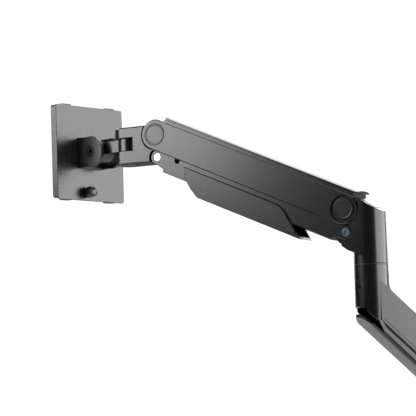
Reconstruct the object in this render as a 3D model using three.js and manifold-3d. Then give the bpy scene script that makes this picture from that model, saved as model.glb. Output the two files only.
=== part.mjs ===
// A gas-spring monitor arm on a desk clamp. Millimetres, +Z up, origin on the desk under the base.
// The lower arm leans up to an elbow, a parallelogram upper arm keeps the head level, and the head
// swivels, tilts and turns the monitor plate.
import * as THREE from 'three';
import { mergeVertices } from 'three/addons/utils/BufferGeometryUtils.js';
import Module from 'manifold-3d';

const wasm = await Module();
wasm.setup();

// ---------------------------------------------------------------- driving dimensions

// How the arm stands, in degrees.
const lowerArmHeading = 226.6;   // plan heading of the lower arm, base to elbow, from +X
const upperArmHeading = 180;     // plan heading of the upper arm, elbow to head
const liftAngle = 23.7;          // the upper arm's rise above level
const headTurn = -13;            // the head's swivel away from the upper arm's heading

// Clearances.
const seatGap = 0.3;             // between pieces that rest on each other
const runGap = 0.15;             // radial play of a pivot in its bore
const sideGap = 0.6;             // between cheeks and what turns between them

// Desk clamp.
const basePlateSize = 100;
const basePlateThickness = 11.7;
const baseCornerRadius = 12;
const padThickness = 2;
const turretHeight = 6;
const turretRadius = 26;
const clampWidth = 70;
const clampSteel = 5;
const clampDrop = 114;           // desk surface to the lower jaw
const jawReach = 22;             // jaw length past the clamp screw
const clampBoltSpacing = 44;
const clampBoltRadius = 3;
const clampScrewRadius = 5;
const clampScrewLength = 128;
const clampKnobRadius = 19;
const clampKnobHeight = 20;
const pressureDiscRadius = 22;
const pressureDiscDepth = 30;    // where the disc pad stands below the desk surface

// Base pivot.
const postRadius = 16;
const bushWall = 1.8;
const baseBossRadius = 24;
const baseBossHeight = 62;
const washerThickness = 1.5;

// Lower arm.
const lowerReach = 175;          // base axis to elbow axis, level
const lowerSlope = 42.2;
const elbowRadius = 19.35;       // elbow post, upper boss and lower arm half width
const beamDepth = 36.3;          // casting, square to the slope
const beamDrop = 16.2;           // top of the beam below the seam, on the elbow axis
const coverDepth = 8.5;           // lower cable cover, square to the slope
const coverWall = 2;
const mouthStart = 1;            // cable mouth's upper corner past the elbow axis
const mouthSlant = 7;            // and how much further back its lower corner is
const channelWidth = 28;         // cable channel in the casting's underside
const channelDepth = 14;
const sideGrooveDepth = 30.4;    // decorative groove, square to the slope from the top
const elbowSpindleRadius = 10;
const elbowBossBoreDepth = 40;
const filletReach = 12;
const filletInset = 2.7;         // its top starts this far inside the upper boss

// Elbow bracket.
const pivotHeight = 63;          // rear main pivot above the seam
const pivotOffset = 24;          // rear main pivot forward of the elbow axis
const elbowTopSlope = 32.6;
const elbowCapSetBack = 20.5;    // from the foot of the square to the main pivot, down the slanted top
const elbowTopDistance = 19.2;   // slanted top face from the rear main pivot
const noseRadius = 14.5;
const cheekTrim = [6.6, 8.2];    // where the relief under the link's walls starts, back from and under its pivot
const cheekTrimSlope = 30;

// Upper arm.
const armReach = 262;            // main pivot to main pivot
const armWidth = 37;
const armWall = 3;
const armEndRadius = 17.7;
const ridgeHeight = 4;
const ridgeInset = 0.9;
const ridgeEnd = 6;              // ridge stops this far past the rear pivot and short of the front one
const topCoverThickness = 3.6;
const topCoverOverhang = 4;
const topCoverOverrun = 5;       // its length past the distance between the main pivots
const topCoverCrown = 2.8;       // rise of its middle over its long edges
const shaftRadius = 6;
const capRadius = 13;
const capProud = 0.7;            // front caps
const capSeatDepth = 1.2;
const rearRecessRadius = 15.5;
const rearRecessDepth = 2.2;
const rearCapRadius = 12.3;
const rearCapThickness = 1.1;
const pivotWasherRadius = 10;
const pocketGap = 1.3;           // round the arm's ends, in elbow and head
const elbowTipHeading = 149;     // where the slanted top ends, round the rear main pivot

// Parallel link.
const linkDrop = 26.8;           // lower pivots under the main pivots
const linkSetBack = 1;           // and this far towards the elbow
const linkWall = 2.5;
const linkBossRadius = 8.8;
const linkFloorDepth = 14;       // floor under the link's pivot line
const linkTopHeight = 9;         // walls above the link's pivot line, inside the arm
const linkFloorStart = 13.4;
const linkPinRadius = 4;
const linkNotchRadius = 3.6;
const linkNotchPlace = 235;
const linkNotchHeight = 4.8;

// Link cable cover.
const linkCoverTop = 1.3;
const linkCoverDepth = 26.6;
const linkCoverWall = 2;
const linkCoverFront = 222.6;
const linkCoverRear = 50.5;
const linkCoverSlantFront = 29;
const linkCoverSlantRear = 43;

// Gas spring.
const springPinDrop = 14.4;       // rear spring pin under the rear main pivot
const springPinRadius = 2.2;
const springReach = 200;         // front spring pin along the arm
const springPinHeight = -2;      // front spring pin off the arm's centre line
const springTubeRadius = 8.5;
const springTubeWall = 1.5;
const springTubeLength = 132;
const springRodRadius = 3.2;
const springEyeWidth = 8;
const springEyeRadius = 5.8;
const openPivotGap = 1.8;        // play of the rod's eye on the rear spring pin

// Head.
const forkReach = 44.5;          // front main pivot to swivel axis
const forkWidth = 34;
const forkTop = 12;
const forkBottom = -32;
const slotHeight = 16.6;
const swivelBarrelRadius = 13.5;
const swivelBoltRadius = 5;
const swivelWasher = 1;
const knuckleReach = 46;         // swivel axis to tilt axis
const knuckleDrop = 3;
const neckWidth = 21;
const tiltBarrelRadius = 13;
const tiltBarrelWidth = 22;
const tiltWasherThickness = 3.4;
const earRadius = 18.3;
const earThickness = 5;
const tiltBoltRadius = 4;
const bracketBase = 4;
const plateStandoff = 19;        // tilt axis to the plate's face

// Monitor plates.
const plateSize = 114;
const plateSheet = 2.5;
const plateCorner = 3;
const flangeDepth = 8;
const hubRadius = 7;
const hubFlangeRadius = 13;
const adapterWidth = 110;
const tabSpacing = 75;
const tabWidth = 14;
const tabHeight = 1.2;
const vesaSmall = 75;
const vesaLarge = 100;
const vesaHoleRadius = 2.3;
const lockDrop = 47;
const lockOffset = 8;
const lockKnobRadius = 7;
const lockKnobLength = 12.5;
const lockScrewRadius = 3;

// ---------------------------------------------------------------- derived dimensions

const radians = (degrees) => THREE.MathUtils.degToRad(degrees);
const slopeTan = Math.tan(radians(lowerSlope));
const slopeCos = Math.cos(radians(lowerSlope));
const slopeSin = Math.sin(radians(lowerSlope));

const plateTop = padThickness + seatGap + basePlateThickness;
const turretTop = plateTop + turretHeight;
const baseBossBottom = turretTop + seatGap + washerThickness + seatGap;
const baseBossTop = baseBossBottom + baseBossHeight;
const seamHeight = baseBossTop - 3 + beamDrop + slopeTan * (lowerReach - baseBossRadius);
const upperBossTop = seamHeight - washerThickness - seatGap;

const armHalf = armWidth / 2;
const armInside = armHalf - armWall;
const linkHalf = armInside - sideGap / 2;
const linkInside = linkHalf - linkWall;
const tongueHalf = linkInside - sideGap;
const tongueRadius = armEndRadius - armWall - 0.5;
const pocketRadius = armEndRadius + pocketGap;
const linkPocketRadius = linkBossRadius + pocketGap;
const ridgeTop = armEndRadius + ridgeHeight;
const ridgeSweep = Math.hypot(ridgeEnd, ridgeTop) + pocketGap;

const slotTop = 0;
const slotStart = forkReach - swivelBarrelRadius - sideGap;
const slotMiddle = slotTop - slotHeight / 2;
const barrelHeight = slotHeight - 2 * (swivelWasher + seatGap);
const earInside = tiltBarrelWidth / 2 + seatGap + tiltWasherThickness + seatGap;
const earOutside = earInside + earThickness;
const adapterFace = plateStandoff + flangeDepth + seatGap;

// ---------------------------------------------------------------- solids

// A geometry as a manifold solid facing outwards, with triangles that collapse on an axis left out.
function solid(geometry) {
  geometry.deleteAttribute('normal');
  geometry.deleteAttribute('uv');
  const merged = mergeVertices(geometry, 1e-4);
  const index = merged.index.array;
  const kept = [];
  for (let i = 0; i < index.length; i += 3) {
    const [a, b, c] = index.slice(i, i + 3);
    if (a !== b && b !== c && c !== a) kept.push(a, b, c);
  }
  const vertProperties = new Float32Array(merged.attributes.position.array);
  const made = (triangles) => new wasm.Manifold(
    new wasm.Mesh({ numProp: 3, vertProperties, triVerts: new Uint32Array(triangles) }));
  const first = made(kept);
  return first.volume() > 0 ? first : made(kept.reverse());
}

function toGeometry(manifold) {
  const mesh = manifold.getMesh();
  const geometry = new THREE.BufferGeometry();
  geometry.setAttribute('position', new THREE.BufferAttribute(mesh.vertProperties, 3));
  geometry.setIndex(new THREE.BufferAttribute(mesh.triVerts, 1));
  geometry.computeVertexNormals();
  return geometry;
}

const join = (first, ...others) => others.reduce((sum, other) => sum.add(other), first);
const cut = (first, ...others) => others.reduce((rest, other) => rest.subtract(other), first);

// A box between two corners.
function box(x0, x1, y0, y1, z0, z1) {
  const geometry = new THREE.BoxGeometry(x1 - x0, y1 - y0, z1 - z0);
  geometry.translate((x0 + x1) / 2, (y0 + y1) / 2, (z0 + z1) / 2);
  return solid(geometry);
}

// A cylinder along 'x', 'y' or 'z' between two stations, centred on the other two coordinates.
function cylinder(axis, radius, from, to, centreA = 0, centreB = 0, sides = 24) {
  const geometry = new THREE.CylinderGeometry(radius, radius, to - from, sides);
  const middle = (from + to) / 2;
  if (axis === 'x') geometry.rotateZ(Math.PI / 2).translate(middle, centreA, centreB);
  if (axis === 'y') geometry.translate(centreA, middle, centreB);
  if (axis === 'z') geometry.rotateX(Math.PI / 2).translate(centreA, centreB, middle);
  return solid(geometry);
}

// A turned piece about +Z from [radius, height] pairs that start and end on the axis.
function turned(profile, sides = 28) {
  const points = profile.map(([radius, height]) => new THREE.Vector2(radius, height));
  const geometry = new THREE.LatheGeometry(points, sides);
  geometry.rotateX(Math.PI / 2);
  return solid(geometry);
}

// A ring about +Z.
function ring(outer, inner, from, to, sides = 28) {
  return cut(cylinder('z', outer, from, to, 0, 0, sides), cylinder('z', inner, from - 1, to + 1, 0, 0, sides));
}

// A ring about +Y.
function sideRing(outer, inner, from, to, sides = 28) {
  return cut(cylinder('y', outer, from, to, 0, 0, sides), cylinder('y', inner, from - 1, to + 1, 0, 0, sides));
}

const bevelled = (depth, bevel, curveSegments) => ({
  depth: depth - 2 * bevel,
  bevelEnabled: bevel > 0,
  bevelThickness: bevel,
  bevelSize: bevel,
  bevelOffset: -bevel,
  bevelSegments: bevel > 2 ? 2 : 1,
  curveSegments,
});

// A side outline in X and Z, as thick as twice halfWidth across Y.
function sideSlab(shape, halfWidth, bevel = 0, curveSegments = 12) {
  const geometry = new THREE.ExtrudeGeometry(shape, bevelled(2 * halfWidth, bevel, curveSegments));
  geometry.rotateX(Math.PI / 2).translate(0, halfWidth - bevel, 0);
  return solid(geometry);
}

// A plan outline in X and Y, between two heights.
function planSlab(shape, from, to, bevel = 0, curveSegments = 5) {
  const geometry = new THREE.ExtrudeGeometry(shape, bevelled(to - from, bevel, curveSegments));
  geometry.translate(0, 0, from + bevel);
  return solid(geometry);
}

const outline = (points) => new THREE.Shape(points.map(([x, y]) => new THREE.Vector2(x, y)));

function roundedRectangle(width, height, radius) {
  const x = width / 2;
  const y = height / 2;
  const shape = new THREE.Shape();
  shape.moveTo(-x + radius, -y);
  shape.lineTo(x - radius, -y);
  shape.absarc(x - radius, -y + radius, radius, -Math.PI / 2, 0);
  shape.lineTo(x, y - radius);
  shape.absarc(x - radius, y - radius, radius, 0, Math.PI / 2);
  shape.lineTo(-x + radius, y);
  shape.absarc(-x + radius, y - radius, radius, Math.PI / 2, Math.PI);
  shape.lineTo(-x, -y + radius);
  shape.absarc(-x + radius, -y + radius, radius, Math.PI, 1.5 * Math.PI);
  return shape;
}

// A slot-shaped outline with round ends at x = 0 and x = length.
function stadium(length, radius) {
  const shape = new THREE.Shape();
  shape.moveTo(0, -radius);
  shape.lineTo(length, -radius);
  shape.absarc(length, 0, radius, -Math.PI / 2, Math.PI / 2);
  shape.lineTo(0, radius);
  shape.absarc(0, 0, radius, Math.PI / 2, 1.5 * Math.PI);
  return shape;
}

// ---------------------------------------------------------------- materials

const finish = (color, roughness, metalness) => () => new THREE.MeshStandardMaterial({ color, roughness, metalness });
const coatedAluminium = finish(0x5a595e, 0.5, 0.35);
const coatedSteel = finish(0x8d8c91, 0.45, 0.4);
const blackPlastic = finish(0x2b2a2d, 0.6, 0);
const coverPlastic = finish(0x4b4a4f, 0.55, 0);
const capPlastic = finish(0x67666b, 0.5, 0.1);
const bearingPlastic = finish(0x1d1d1f, 0.5, 0);
const blackRubber = finish(0x191919, 0.9, 0);
const brightSteel = finish(0xd8d9dc, 0.22, 1);
const zincSteel = finish(0xa9abb0, 0.35, 1);
const springEnamel = finish(0x202124, 0.35, 0.3);

function add(parent, name, shape, material) {
  const mesh = new THREE.Mesh(toGeometry(shape), material());
  mesh.name = name;
  parent.add(mesh);
  return mesh;
}

function frameAt(parent, name, position, turn = 0, tip = 0) {
  const group = new THREE.Group();
  group.name = name;
  group.position.set(...position);
  group.rotation.set(0, -radians(tip), radians(turn), 'ZYX');
  parent.add(group);
  return group;
}

// ---------------------------------------------------------------- desk clamp

const clampLegFace = basePlateSize / 2 + seatGap;
const clampBoltHeight = padThickness + seatGap + basePlateThickness / 2;

function deskPad() {
  return planSlab(roundedRectangle(basePlateSize, basePlateSize, baseCornerRadius), 0, padThickness);
}

function basePlate() {
  const under = padThickness + seatGap;
  const slab = planSlab(roundedRectangle(basePlateSize, basePlateSize, baseCornerRadius), under, plateTop, 1.5);
  const turret = cylinder('z', turretRadius, plateTop - 2, turretTop, 0, 0, 32);
  const boltHoles = [-1, 1].map((side) => cylinder(
    'x', clampBoltRadius + runGap, basePlateSize / 2 - 22, clampLegFace, side * clampBoltSpacing / 2, clampBoltHeight, 16));
  return cut(join(slab, turret), ...boltHoles);
}

// The bent steel that reaches round the desk's edge to the lower jaw.
function clampBracket() {
  const inner = clampLegFace;
  const outer = inner + clampSteel;
  const jawTop = -clampDrop;
  const jawBottom = jawTop - clampSteel;
  const bend = 8;
  const side = new THREE.Shape();
  side.moveTo(inner, plateTop);
  side.lineTo(inner, jawTop + bend);
  side.absarc(inner - bend, jawTop + bend, bend, 0, -Math.PI / 2, true);
  side.lineTo(-jawReach, jawTop);
  side.lineTo(-jawReach, jawBottom);
  side.lineTo(outer - bend - clampSteel, jawBottom);
  side.absarc(outer - bend - clampSteel, jawBottom + bend + clampSteel, bend + clampSteel, -Math.PI / 2, 0);
  side.lineTo(outer, plateTop);
  const bent = sideSlab(side, clampWidth / 2, 0, 5);
  const boltHole = (y, z) => cylinder('x', clampBoltRadius + runGap, inner - 1, outer + 1, y, z, 16);
  const rows = [clampBoltHeight, clampBoltHeight - 40];
  const holes = rows.flatMap((z) => [-1, 1].map((end) => boltHole(end * clampBoltSpacing / 2, z)));
  const screwHole = cylinder('z', clampScrewRadius + runGap, jawBottom - 1, jawTop + 1, 0, 0, 24);
  return cut(bent, ...holes, screwHole);
}

function clampBolt(side) {
  const y = side * clampBoltSpacing / 2;
  const headFace = clampLegFace + clampSteel + seatGap;
  const shank = cylinder('x', clampBoltRadius, clampLegFace - 18, headFace + 1, y, clampBoltHeight, 16);
  const head = cylinder('x', clampBoltRadius + 2.2, headFace, headFace + 4, y, clampBoltHeight, 20);
  const socket = cylinder('x', clampBoltRadius - 0.4, headFace + 1.6, headFace + 5, y, clampBoltHeight, 6);
  return cut(join(shank, head), socket);
}

function basePost() {
  const foot = turretTop + seatGap;
  const top = baseBossTop - 6;
  const post = cylinder('z', postRadius, foot, top, 0, 0, 40);
  return cut(post, cylinder('z', clampBoltRadius + runGap, top - 24, top + 1, 0, 0, 16));
}

const discTop = -pressureDiscDepth - padThickness - seatGap;
const discThickness = 7;
const screwTop = discTop - 3;

function discPad() {
  return cylinder('z', pressureDiscRadius - 1, -pressureDiscDepth - padThickness, -pressureDiscDepth, 0, 0, 32);
}

function pressureDisc() {
  const socket = clampScrewRadius + runGap;
  return turned([
    [0, discTop], [pressureDiscRadius, discTop], [pressureDiscRadius, discTop - 3], [socket + 4, discTop - discThickness],
    [socket, discTop - discThickness], [socket, screwTop + seatGap], [0, screwTop + seatGap],
  ]);
}

function clampScrew() {
  const tip = screwTop - clampScrewLength;
  return turned([
    [0, screwTop], [clampScrewRadius - 1, screwTop], [clampScrewRadius, screwTop - 1],
    [clampScrewRadius, tip + 1], [clampScrewRadius - 1, tip], [0, tip],
  ], 24);
}

// A lobed hand knob round the end of the clamp screw.
function clampKnob() {
  const lobes = 6;
  const points = [];
  const steps = lobes * 6;
  for (let i = 0; i < steps; i += 1) {
    const angle = 2 * Math.PI * i / steps;
    const radius = clampKnobRadius + 2.2 * Math.cos(lobes * angle);
    points.push([radius * Math.cos(angle), radius * Math.sin(angle)]);
  }
  const low = screwTop - clampScrewLength - 3;
  const grip = planSlab(outline(points), low, low + clampKnobHeight, 2);
  return cut(grip, cylinder('z', clampScrewRadius + seatGap, low + 2.5, low + clampKnobHeight + 1, 0, 0, 24));
}

// ---------------------------------------------------------------- lower arm, x from base axis to elbow axis

// A point on a line under the beam's top, `depth` square to the slope, at a level distance from the base axis.
const underTop = (x, depth) => seamHeight - beamDrop - slopeTan * (lowerReach - x) - depth / slopeCos;

function beamSide(depth, from, to) {
  return outline([
    [from, underTop(from, 0)], [from, underTop(from, depth)], [to, underTop(to, depth)], [to, underTop(to, 0)],
  ]);
}

function lowerArmCasting() {
  const tail = lowerReach + elbowRadius;
  const beam = sideSlab(beamSide(beamDepth, 0, lowerReach), elbowRadius, 3);
  const corner = lowerReach - elbowRadius;
  const filletSide = new THREE.Shape();
  const filletTop = corner + filletInset;
  const filletFoot = corner - filletReach * slopeCos;
  filletSide.moveTo(corner + 6, underTop(corner + 6, 4));
  filletSide.lineTo(corner + 6, underTop(corner, 0) + filletReach);
  filletSide.lineTo(filletTop, underTop(corner, 0) + filletReach);
  filletSide.quadraticCurveTo(filletTop - 0.8, underTop(filletTop, 0), filletFoot, underTop(filletFoot, 0));
  filletSide.lineTo(filletFoot, underTop(filletFoot, 4));
  const fillet = sideSlab(filletSide, elbowRadius / 2, 0, 5);
  const upperBoss = cylinder('z', elbowRadius, underTop(lowerReach, beamDepth) - 30, upperBossTop, lowerReach, 0, 40);
  const belowBeam = sideSlab(outline([
    [-60, underTop(-60, beamDepth)], [-60, -200], [tail + 60, -200], [tail + 60, underTop(tail + 60, beamDepth)],
  ]), elbowRadius + 10);
  const aboveBoss = box(-60, baseBossRadius - 4, -60, 60, baseBossTop - 2, seamHeight);
  const belowBoss = box(-60, 60, -60, 60, -60, baseBossBottom);
  const baseBoss = cylinder('z', baseBossRadius, baseBossBottom, baseBossTop, 0, 0, 40);
  const body = join(cut(join(beam, fillet, upperBoss), belowBeam, aboveBoss, belowBoss), baseBoss);

  const channel = sideSlab(outline([
    [baseBossRadius + 4, underTop(baseBossRadius + 4, beamDepth - channelDepth)],
    [baseBossRadius + 4, underTop(baseBossRadius + 4, beamDepth + 20)],
    [tail + 30, underTop(tail + 30, beamDepth + 20)],
    [lowerReach - 4, underTop(lowerReach - 4, beamDepth - channelDepth)],
  ]), channelWidth / 2);
  const groove = (side) => {
    const line = sideSlab(outline([
      [baseBossRadius + 12, underTop(baseBossRadius + 12, sideGrooveDepth)],
      [baseBossRadius + 12, underTop(baseBossRadius + 12, sideGrooveDepth + 1)],
      [lowerReach - 6, underTop(lowerReach - 6, sideGrooveDepth + 1)],
      [lowerReach - 6, underTop(lowerReach - 6, sideGrooveDepth)],
    ]), 1);
    return line.translate(0, side * (elbowRadius + 0.2), 0);
  };
  const postBore = cylinder('z', postRadius + runGap + bushWall + runGap, baseBossBottom - 1, baseBossTop + 1, 0, 0, 40);
  const washerSeat = cylinder('z', postRadius + 5, baseBossTop - 6, baseBossTop + 1, 0, 0, 40);
  const spindleBore = cylinder(
    'z', elbowSpindleRadius + runGap + bushWall + runGap, upperBossTop - elbowBossBoreDepth, upperBossTop + 1, lowerReach, 0, 32);
  const screwHole = setScrewSolid(lockedHoleRadius, elbowRadius + 2);
  return cut(body, channel, groove(1), groove(-1), postBore, washerSeat, spindleBore, screwHole);
}

// The radial set screw of the upper boss, `heading` round from the lower arm's line.
const setScrewHeading = 24;
const setScrewRadius = 2.2;
const setScrewDrop = 26;
const lockedHoleRadius = setScrewRadius + runGap;

function setScrewSolid(radius, reach) {
  const start = elbowSpindleRadius + runGap + bushWall + runGap + seatGap;
  return cylinder('x', radius, start, reach, 0, 0, 16)
    .rotate(0, 0, setScrewHeading)
    .translate(lowerReach, 0, seamHeight - setScrewDrop);
}

function bossSetScrew() {
  const start = elbowSpindleRadius + runGap + bushWall + runGap + seatGap;
  const length = elbowRadius - start - 1;
  const screw = cylinder('x', setScrewRadius, start, start + length, 0, 0, 16);
  const socket = cylinder('x', setScrewRadius - 0.9, start + length - 2, start + length + 1, 0, 0, 6);
  return cut(screw, socket).rotate(0, 0, setScrewHeading).translate(lowerReach, 0, seamHeight - setScrewDrop);
}

function baseBush() {
  return ring(postRadius + runGap + bushWall, postRadius + runGap, baseBossBottom + 1, baseBossTop - 7, 32);
}

function baseWasher() {
  return ring(turretRadius - 2, postRadius + runGap, turretTop + seatGap, turretTop + seatGap + washerThickness, 32);
}

function retainingWasher() {
  const seat = baseBossTop - 6 + seatGap;
  return ring(postRadius + 4.4, clampBoltRadius + runGap, seat, seat + 2, 32);
}

function retainingScrew() {
  const seat = baseBossTop - 6 + 2 * seatGap + 2;
  const shank = cylinder('z', clampBoltRadius, seat - 22, seat + 1, 0, 0, 16);
  return join(shank, cylinder('z', clampBoltRadius + 3, seat, seat + 2.4, 0, 0, 20));
}

// The domed plastic cap on the base boss.
function baseBossCap() {
  const rim = baseBossTop + seatGap;
  return turned([
    [0, rim + 1.5], [postRadius + 2, rim + 1.5], [postRadius + 2, rim - 1.2], [postRadius + 4.4, rim - 1.2],
    [postRadius + 4.4, rim], [baseBossRadius, rim], [baseBossRadius, rim + 1.6],
    [baseBossRadius - 4, rim + 3.6], [0, rim + 4.4],
  ]);
}

function elbowBush() {
  const outer = elbowSpindleRadius + runGap + bushWall;
  return ring(outer, elbowSpindleRadius + runGap, upperBossTop - elbowBossBoreDepth + 0.5, upperBossTop - 0.5)
    .translate(lowerReach, 0, 0);
}

// The thin ring that shows in the elbow's seam.
function elbowWasher() {
  return ring(elbowRadius - 0.25, elbowSpindleRadius + runGap, upperBossTop + seatGap, upperBossTop + washerThickness, 40)
    .translate(lowerReach, 0, 0);
}

// The clip-on trough under the lower arm, rounded round the elbow post, with a mouth for cables at its upper end.
function lowerCableCover() {
  const low = baseBossRadius + 16;
  const high = lowerReach + elbowRadius;
  const top = beamDepth + seatGap;
  const bottom = top + coverDepth;
  const side = (upper, lower, start, end) => outline([
    [start, underTop(start, upper)], [start, underTop(start, lower)], [end, underTop(end, lower)], [end, underTop(end, upper)],
  ]);
  const plan = planSlab(stadium(lowerReach - low, elbowRadius), 0, seamHeight).translate(low, 0, 0);
  const skin = sideSlab(side(top - 6, bottom, low - 20, high + 20), elbowRadius, 4.5).intersect(plan);
  const above = sideSlab(side(-60, top, low - 40, high + 40), elbowRadius + 1);
  const lowEnd = box(-60, low, -60, 60, 0, seamHeight);
  const half = elbowRadius - coverWall;
  const trough = sideSlab(side(top - 20, bottom - coverWall, low - 20, lowerReach - 4), half, 2)
    .add(cylinder('z', half, 0, seamHeight, lowerReach - 4, 0, 32)
      .subtract(sideSlab(side(bottom - coverWall, bottom + 90, low - 40, high + 60), elbowRadius + 1)));
  const lip = bottom - coverWall - 0.4;
  const mouthTop = lowerReach + mouthStart;
  const mouth = sideSlab(outline([
    [mouthTop, underTop(mouthTop, top - 1)], [mouthTop - mouthSlant, underTop(mouthTop - mouthSlant, lip)],
    [high + 20, underTop(high + 20, lip)], [high + 20, underTop(high + 20, top - 1)],
  ]), elbowRadius + 5);
  return cut(skin, above, lowEnd, trough, mouth);
}

// ---------------------------------------------------------------- elbow, x towards the head, z from the seam

const mainPivot = [pivotOffset, pivotHeight];
const lowPivot = [pivotOffset - linkSetBack, pivotHeight - linkDrop];
const across = (radius, [x, z], halfWidth, sides = 28) => cylinder('y', radius, -halfWidth, halfWidth, x, z, sides);

function elbowBracket() {
  const radius = elbowRadius;
  const noseSlope = radians(35.5);
  const noseTip = [lowPivot[0] + noseRadius * Math.sin(noseSlope), lowPivot[1] - noseRadius * Math.cos(noseSlope)];
  const chin = noseTip[1] - (noseTip[0] - radius) * Math.tan(noseSlope);
  const cheekTip = noseTip[1] - 3 * Math.tan(noseSlope);
  const high = pivotHeight + 40;

  const post = cylinder('z', radius, seatGap / 2, high, 0, 0, 40);
  const cheekSide = outline([
    [0, chin - 8], [radius, chin], [noseTip[0] - 3, cheekTip], [noseTip[0] - 3, lowPivot[1]], [pivotOffset, high], [0, high],
  ]);
  const cheeks = sideSlab(cheekSide, radius);
  const topCut = box(-80, 80, -60, 60, 0, 60).rotate(0, elbowTopSlope * -1, 0)
    .translate(
      pivotOffset - elbowTopDistance * Math.sin(radians(elbowTopSlope)), 0,
      pivotHeight + elbowTopDistance * Math.cos(radians(elbowTopSlope)));
  const pockets = [-1, 1].map((side) => join(
    cylinder('y', pocketRadius, 0, 30, ...mainPivot, 40),
    cylinder('y', linkPocketRadius, 0, 30, ...lowPivot, 32),
    sideSlab(outline([lowPivot, mainPivot, [mainPivot[0] + 30, mainPivot[1]], [lowPivot[0] + 30, lowPivot[1]]]), 15)
      .translate(0, 15, 0),
    sideSlab(outline([
      lowPivot, [lowPivot[0] - cheekTrim[0], lowPivot[1] - cheekTrim[1]],
      [lowPivot[0] + 14, lowPivot[1] - cheekTrim[1] - (cheekTrim[0] + 14) * Math.tan(radians(cheekTrimSlope))],
      [lowPivot[0] + 14, lowPivot[1]],
    ]), 15).translate(0, 15, 0),
  ).translate(0, side > 0 ? tongueHalf : -tongueHalf - 30, 0));
  const tip = radians(elbowTipHeading);
  const roofSweep = cut(
    across(ridgeSweep, mainPivot, radius + 5, 40),
    sideSlab(outline([
      mainPivot, [mainPivot[0] + 60 * Math.cos(tip), mainPivot[1] + 60 * Math.sin(tip)],
      [mainPivot[0] - 60, mainPivot[1] - 60], [mainPivot[0] + 60, mainPivot[1] - 60], [mainPivot[0] + 60, mainPivot[1]],
    ]), radius + 6));
  const outside = cut(join(cut(post, topCut), cut(cheeks, topCut)), ...pockets, roofSweep);

  const tongueSide = outline([
    [0, chin], [radius, chin], noseTip, [lowPivot[0] + 4, lowPivot[1] + 6], [mainPivot[0] + 6, mainPivot[1]],
    mainPivot, [mainPivot[0] - 12, mainPivot[1] + 5], [0, mainPivot[1]],
  ]);
  const tongue = join(
    sideSlab(tongueSide, tongueHalf),
    across(tongueRadius, mainPivot, tongueHalf, 28),
    across(noseRadius, lowPivot, tongueHalf, 28),
  );
  const slotLow = pivotHeight - springPinDrop - springEyeRadius - openPivotGap;
  const slotHigh = pivotHeight - shaftRadius - 0.8;
  const springSlot = sideSlab(outline([
    [pivotOffset - 9, slotLow], [pivotOffset + 2, slotLow], [pivotOffset + 30, slotLow - 24],
    [pivotOffset + 30, pivotHeight + 20], [pivotOffset + shaftRadius + 1.6, pivotHeight + 20],
    [pivotOffset + shaftRadius + 1.6, pivotHeight - 3], [pivotOffset + 4, slotHigh], [pivotOffset - 9, slotHigh],
  ]), springEyeWidth / 2 + 0.4);
  const bores = [
    across(shaftRadius + runGap, mainPivot, 40),
    across(linkPinRadius + runGap, lowPivot, 40, 24),
    across(springPinRadius + runGap, [pivotOffset, pivotHeight - springPinDrop], tongueHalf - 1.5, 20),
    cylinder('z', elbowSpindleRadius + runGap, -1, 32, 0, 0, 32),
  ];
  const capSeat = elbowCapSolid(seatGap, 1.2);
  return cut(join(outside, tongue), springSlot, ...bores, capSeat);
}

// The plastic insert in the elbow's slanted top, or its seat when `gap` grows it.
function elbowCapSolid(gap, depth) {
  const length = 22 + 2 * gap;
  const shape = roundedRectangle(length, 24 + 2 * gap, 6);
  const foot = elbowTopDistance * Math.cos(radians(elbowTopSlope));
  return planSlab(shape, -depth - gap, gap > 0 ? 5 : 0.5, 0, 5)
    .translate(-elbowCapSetBack, 0, 0)
    .rotate(0, -elbowTopSlope, 0)
    .translate(pivotOffset - elbowTopDistance * Math.sin(radians(elbowTopSlope)), 0, pivotHeight + foot);
}

function elbowSpindle() {
  return cylinder('z', elbowSpindleRadius, -washerThickness - seatGap - elbowBossBoreDepth + 1, 31.5, 0, 0, 32);
}

function crossPin(radius, [x, z], halfWidth, headRadius = 0, headDepth = 0) {
  const shank = cylinder('y', radius, -halfWidth, halfWidth, x, z, 24);
  if (!headRadius) return shank;
  const heads = [-halfWidth, halfWidth - headDepth].map((y) => cylinder('y', headRadius, y, y + headDepth, x, z, 24));
  const sockets = [-1, 1].map((side) => cylinder(
    'y', radius * 0.6, side > 0 ? halfWidth - 1.2 : -halfWidth - 1, side > 0 ? halfWidth + 1 : -halfWidth + 1.2, x, z, 6));
  return cut(join(shank, ...heads), ...sockets);
}

const rearPinHead = linkPinRadius + 0.9;
const pinHeadDepth = 1.4;

// ---------------------------------------------------------------- upper arm, x along the arm, z square to it

const ridgeLow = armEndRadius - 1.5;

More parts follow.
